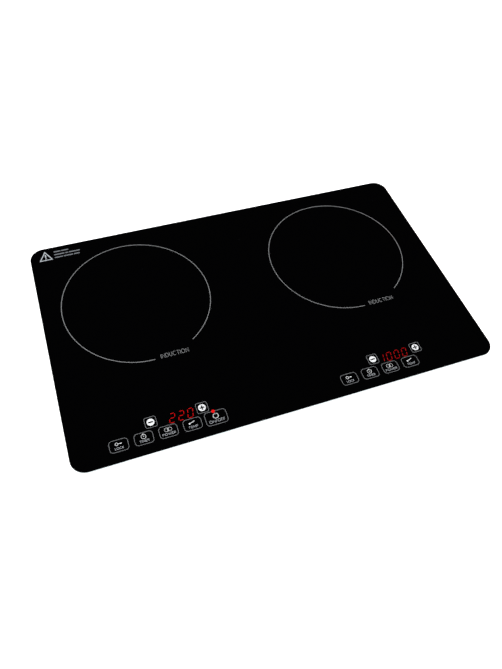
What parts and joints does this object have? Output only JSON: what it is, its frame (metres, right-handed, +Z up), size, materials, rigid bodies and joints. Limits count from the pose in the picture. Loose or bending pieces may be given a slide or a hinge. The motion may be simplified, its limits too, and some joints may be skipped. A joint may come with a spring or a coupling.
{
  "type": "induction cooktop",
  "caption": "Drop-in electric induction cooktop: black glass plate with ringed cooking zones and touch panels over a stepped steel housing.",
  "frame": {"origin": "on the standing surface, below the middle of the glass", "axes": "+X to the user's right along the long side, +Y to the back, +Z up out of the glass"},
  "size_m": [0.6, 0.37, 0.065],
  "materials": {
    "black_glass": "polished black glass-ceramic, opaque",
    "white_print": "fired pale grey enamel print",
    "foam": "closed-cell foam tape",
    "galvanised_steel": "galvanised sheet steel",
    "bright_steel": "zinc-plated steel",
    "foot_rubber": "moulded black rubber",
    "plate_foil": "blank foil plate",
    "sheet_aluminium": "bare aluminium",
    "post_plastic": "dark silicone rubber posts",
    "brass": "turned brass",
    "circuit_board": "green solder mask over glass fibre",
    "filter_parts": "epoxy and plastic component shells",
    "terminal_plastic": "ivory nylon",
    "black_plastic": "moulded black plastic",
    "fan_plastic": "moulded dark plastic",
    "white_plastic": "heat-proof white plastic",
    "ferrite": "sintered ferrite",
    "copper": "enamelled copper wire",
    "mica": "mica sheet",
    "sensor_ceramic": "white ceramic",
    "chip_plastic": "moulded epoxy",
    "capacitor_shell": "dipped epoxy",
    "display_plastic": "black display shell",
    "red_lamp": "red light-emitting diode",
    "ribbon": "grey ribbon cable"
  },
  "bodies": {
    "root": {"glass_top": "black_glass", "zone_mark_left": "white_print", "zone_mark_right": "white_print", "touch_marks_left": "white_print", "touch_marks_right": "white_print", "rim_seal": "foam", "glass_frame": "galvanised_steel", "housing_pan": "galvanised_steel", "housing_screws": "bright_steel", "rubber_feet": "foot_rubber", "rating_plate": "plate_foil", "coil_plate": "sheet_aluminium", "coil_posts": "post_plastic", "coil_carrier_left": "white_plastic", "coil_carrier_right": "white_plastic", "ferrites_left": "ferrite", "ferrites_right": "ferrite", "coil_winding_left": "copper", "coil_winding_right": "copper", "coil_leads_left": "copper", "coil_leads_right": "copper", "mica_disc_left": "mica", "mica_disc_right": "mica", "heat_sensor_left": "sensor_ceramic", "heat_sensor_right": "sensor_ceramic", "board_standoffs": "brass", "power_board_left": "circuit_board", "power_board_right": "circuit_board", "heatsink_left": "sheet_aluminium", "heatsink_right": "sheet_aluminium", "power_switches_left": "chip_plastic", "power_switches_right": "chip_plastic", "capacitors_left": "capacitor_shell", "capacitors_right": "capacitor_shell", "choke_left": "copper", "choke_right": "copper", "filter_board": "circuit_board", "filter_parts": "filter_parts", "terminal_block": "terminal_plastic", "cable_gland": "black_plastic", "fan_frame_left": "black_plastic", "fan_frame_right": "black_plastic", "panel_cradle_left": "white_plastic", "panel_cradle_right": "white_plastic", "touch_board_left": "circuit_board", "touch_board_right": "circuit_board", "touch_springs_left": "bright_steel", "touch_springs_right": "bright_steel", "display_left": "display_plastic", "display_right": "display_plastic", "status_lamp": "red_lamp", "ribbon_cables": "ribbon", "clamp_screws": "bright_steel"},
    "rotor_left": {"fan_rotor_left": "fan_plastic"},
    "rotor_right": {"fan_rotor_right": "fan_plastic"},
    "clamp_front_left": {"clamp_front_left": "bright_steel"},
    "clamp_front_right": {"clamp_front_right": "bright_steel"},
    "clamp_back_left": {"clamp_back_left": "bright_steel"},
    "clamp_back_right": {"clamp_back_right": "bright_steel"}
  },
  "joints": [
    {"name": "fan_spin_left", "type": "hinge", "parent": "root", "child": "rotor_left", "pos_m": [-0.196, -0.092, 0.0207], "axis": [0, 0, 1], "continuous": true},
    {"name": "fan_spin_right", "type": "hinge", "parent": "root", "child": "rotor_right", "pos_m": [0.196, -0.092, 0.0207], "axis": [0, 0, 1], "continuous": true},
    {"name": "clamp_swing_front_left", "type": "hinge", "parent": "root", "child": "clamp_front_left", "pos_m": [-0.279, -0.1, 0.021], "axis": [0, 0, 1], "range_deg": [0, 90]},
    {"name": "clamp_swing_front_right", "type": "hinge", "parent": "root", "child": "clamp_front_right", "pos_m": [0.279, -0.1, 0.021], "axis": [0, 0, -1], "range_deg": [0, 90]},
    {"name": "clamp_swing_back_left", "type": "hinge", "parent": "root", "child": "clamp_back_left", "pos_m": [-0.279, 0.1, 0.021], "axis": [0, 0, -1], "range_deg": [0, 90]},
    {"name": "clamp_swing_back_right", "type": "hinge", "parent": "root", "child": "clamp_back_right", "pos_m": [0.279, 0.1, 0.021], "axis": [0, 0, 1], "range_deg": [0, 90]}
  ]
}
